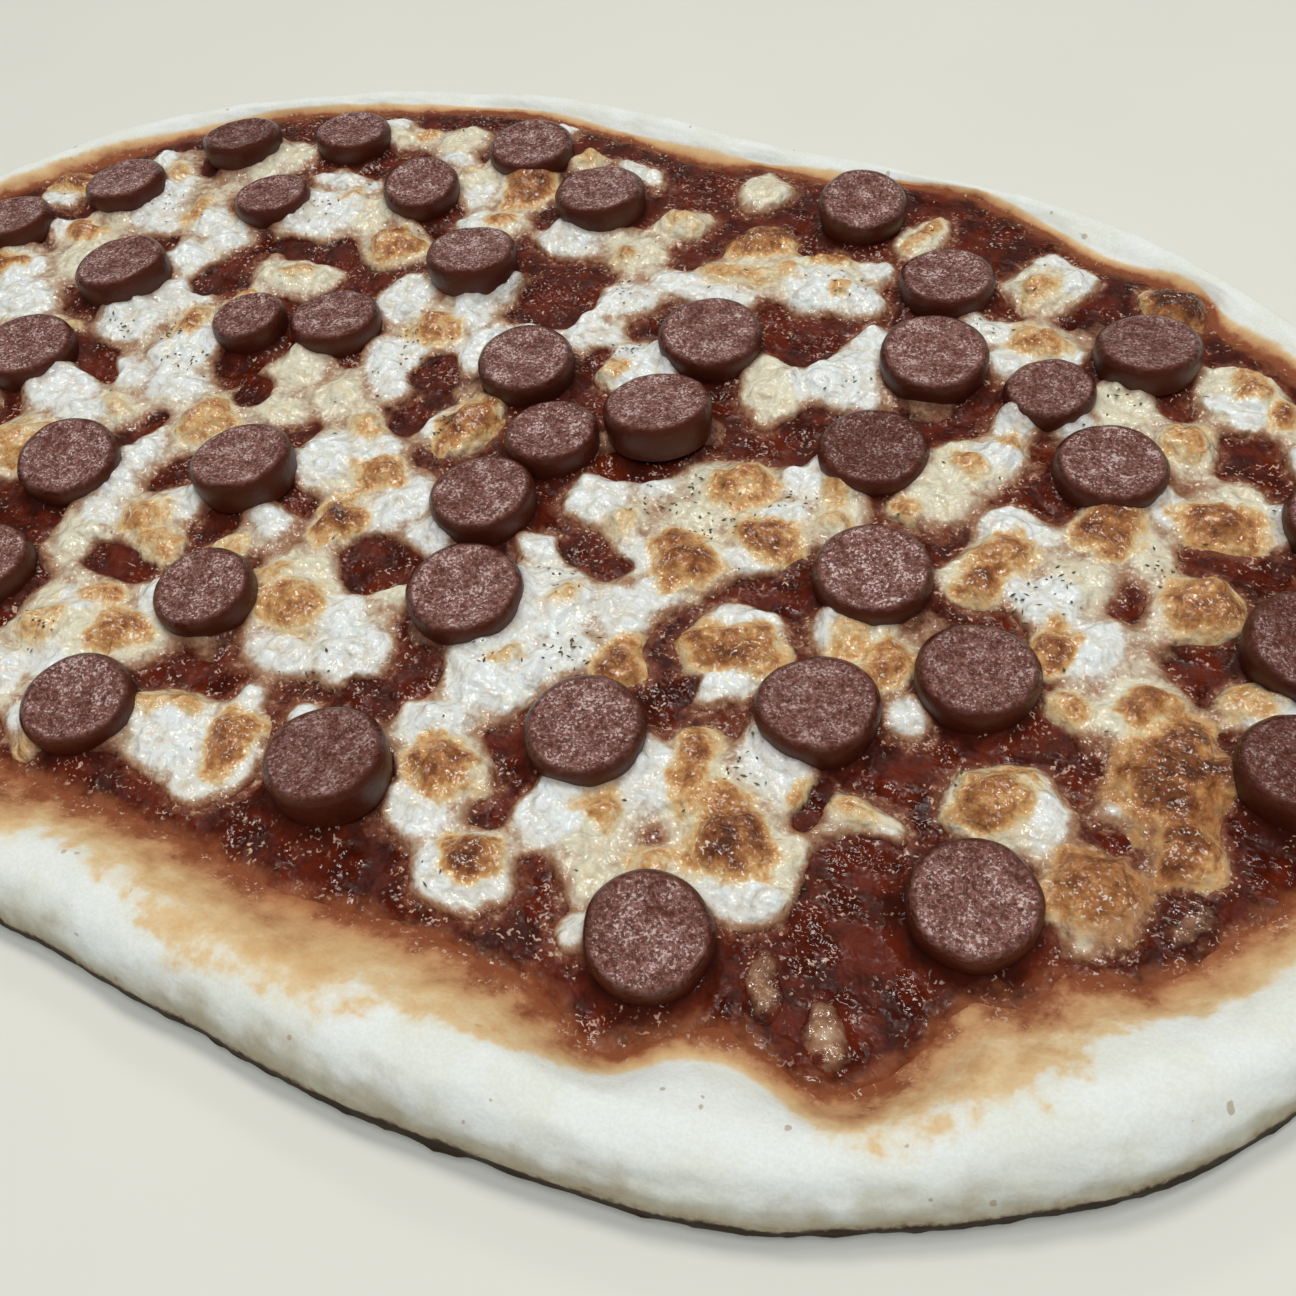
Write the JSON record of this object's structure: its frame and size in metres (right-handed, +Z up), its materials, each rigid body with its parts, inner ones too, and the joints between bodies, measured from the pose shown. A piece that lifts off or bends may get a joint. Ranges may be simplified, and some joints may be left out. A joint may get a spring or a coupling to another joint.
{
  "type": "sausage pizza",
  "caption": "Large oval pizza with a thick pale rim, dark tomato sauce, melted browned mozzarella and thick sausage slices; uncut.",
  "frame": {"origin": "middle of the pizza's box, on the surface it lies on", "axes": "+X along the oval, +Z up, +Y towards the side where the rim is narrow and low"},
  "size_m": [0.4261, 0.2805, 0.0213],
  "materials": {
    "crust": "baked wheat dough, pale cream and floury outside, golden to orange-brown beside the sauce, matt",
    "sauce": "baked-down tomato sauce, dark red-brown, pitted, with small oily glints",
    "cheese": "melted mozzarella, white to cream with golden and brown blisters, greasy",
    "sausage": "smoked sausage, fine-grained mauve-brown cut face, dark red-brown skin, greasy"
  },
  "bodies": {
    "root": {"dough": "crust", "sauce": "sauce", "cheese_1": "cheese", "cheese_2": "cheese", "cheese_3": "cheese", "cheese_4": "cheese", "cheese_5": "cheese", "cheese_6": "cheese", "cheese_7": "cheese", "cheese_8": "cheese", "cheese_9": "cheese", "cheese_10": "cheese", "slice_01": "sausage", "slice_02": "sausage", "slice_03": "sausage", "slice_04": "sausage", "slice_05": "sausage", "slice_06": "sausage", "slice_07": "sausage", "slice_08": "sausage", "slice_09": "sausage", "slice_10": "sausage", "slice_11": "sausage", "slice_12": "sausage", "slice_13": "sausage", "slice_14": "sausage", "slice_15": "sausage", "slice_16": "sausage", "slice_17": "sausage", "slice_18": "sausage", "slice_19": "sausage", "slice_20": "sausage", "slice_21": "sausage", "slice_22": "sausage", "slice_23": "sausage", "slice_24": "sausage", "slice_25": "sausage", "slice_26": "sausage", "slice_27": "sausage", "slice_28": "sausage", "slice_29": "sausage", "slice_30": "sausage", "slice_31": "sausage", "slice_32": "sausage", "slice_33": "sausage", "slice_34": "sausage", "slice_35": "sausage", "slice_36": "sausage", "slice_37": "sausage", "slice_38": "sausage", "slice_39": "sausage", "slice_40": "sausage", "slice_41": "sausage", "slice_42": "sausage", "slice_43": "sausage", "slice_44": "sausage", "slice_45": "sausage", "slice_46": "sausage", "slice_47": "sausage", "slice_48": "sausage"}
  },
  "joints": []
}
